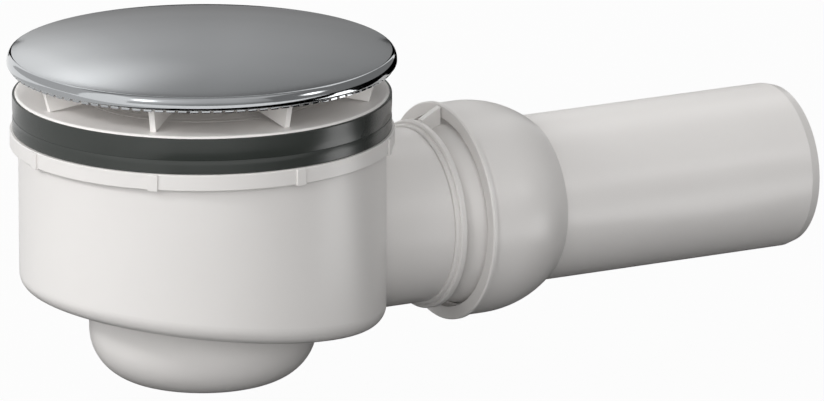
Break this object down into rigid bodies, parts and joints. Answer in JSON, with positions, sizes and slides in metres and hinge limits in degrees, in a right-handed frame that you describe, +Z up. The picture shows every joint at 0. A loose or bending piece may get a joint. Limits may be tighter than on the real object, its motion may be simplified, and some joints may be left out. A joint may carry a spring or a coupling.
{
  "type": "shower trap",
  "caption": "White plastic shower trap with a water-seal pot, a clamping flange with rubber rings, a chromed domed cover and a horizontal outlet pipe on a ball joint.",
  "frame": {"origin": "on the drain's vertical axis, in the plane where the shower tray is clamped between the two rubber rings", "axes": "+Z up along the drain's axis towards the cover, +X the way the outlet pipe leaves, +Y to the left of it"},
  "size_m": [0.2578, 0.115, 0.1051],
  "materials": {
    "white_plastic": "satin",
    "chromed_sheet": "polished",
    "black_rubber": "matte"
  },
  "bodies": {
    "trap": {"cover_cap": "chromed_sheet", "cover_carrier": "white_plastic", "cover_plug_ring": "black_rubber", "hair_strainer": "white_plastic", "dip_tube": "white_plastic", "dip_tube_oring": "black_rubber", "clamp_flange": "white_plastic", "flange_seal": "black_rubber", "tray_seal": "black_rubber", "body_ring": "white_plastic", "trap_pot": "white_plastic", "trap_cup": "white_plastic", "outlet_stub": "white_plastic"},
    "ball": {"ball_nipple": "white_plastic", "nipple_oring": "black_rubber"},
    "socket_rings": {"ball_seal": "black_rubber", "ball_retainer": "white_plastic"},
    "outlet": {"outlet_pipe": "white_plastic"}
  },
  "joints": [
    {"name": "ball_turn", "type": "hinge", "parent": "trap", "child": "ball", "pos_m": [0.0907, 0, -0.04079], "axis": [1, 0, -0.0087], "continuous": true},
    {"name": "outlet_tilt", "type": "hinge", "parent": "ball", "child": "socket_rings", "pos_m": [0.0907, 0, -0.04079], "axis": [0, 1, 0], "range_deg": [0, 11]},
    {"name": "outlet_turn", "type": "hinge", "parent": "socket_rings", "child": "outlet", "pos_m": [0.0907, 0, -0.04079], "axis": [1, 0, -0.0087], "continuous": true}
  ]
}
